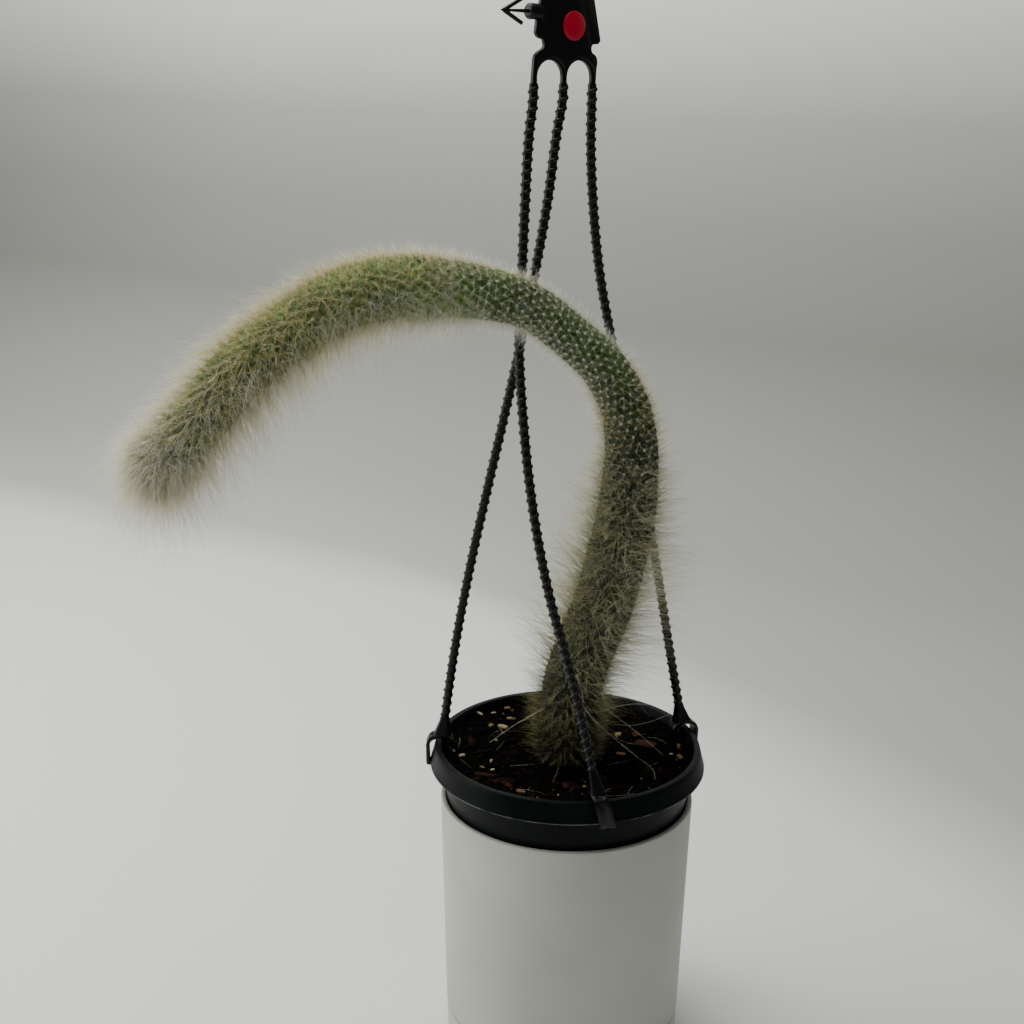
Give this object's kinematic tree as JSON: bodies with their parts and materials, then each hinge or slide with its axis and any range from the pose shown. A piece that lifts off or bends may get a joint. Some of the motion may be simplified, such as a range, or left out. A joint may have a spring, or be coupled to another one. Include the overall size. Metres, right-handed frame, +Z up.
{
  "type": "potted monkey tail cactus",
  "caption": "Arching hairy cactus stem in a black hanging pot with ridged strands and a hooked head, standing in a matt white outer pot on a flush saucer.",
  "frame": {"origin": "on the table, at the middle of the saucer's flat bottom, on the axis of the pots", "axes": "+Z up, +X to the viewer's right and +Y away from the viewer, as in the picture; the stem's tip hangs on the -X side, towards -Y"},
  "size_m": [0.2547, 0.2196, 0.5572],
  "materials": {
    "white_matt_glaze": "matt off-white",
    "black_pot_plastic": "moulded, satin black",
    "peat_and_bark": "dark peat with bark chips",
    "cactus_skin_and_hair": "green skin under cream and white hair",
    "black_hanger_plastic": "moulded, satin black",
    "red_plastic": "moulded, satin red"
  },
  "bodies": {
    "root": {"saucer": "white_matt_glaze", "outer_pot": "white_matt_glaze", "black_pot": "black_pot_plastic", "soil": "peat_and_bark", "cactus": "cactus_skin_and_hair", "strand_front": "black_hanger_plastic", "strand_left": "black_hanger_plastic", "strand_right": "black_hanger_plastic", "hanger_head": "black_hanger_plastic", "lock_button": "red_plastic"}
  },
  "joints": []
}
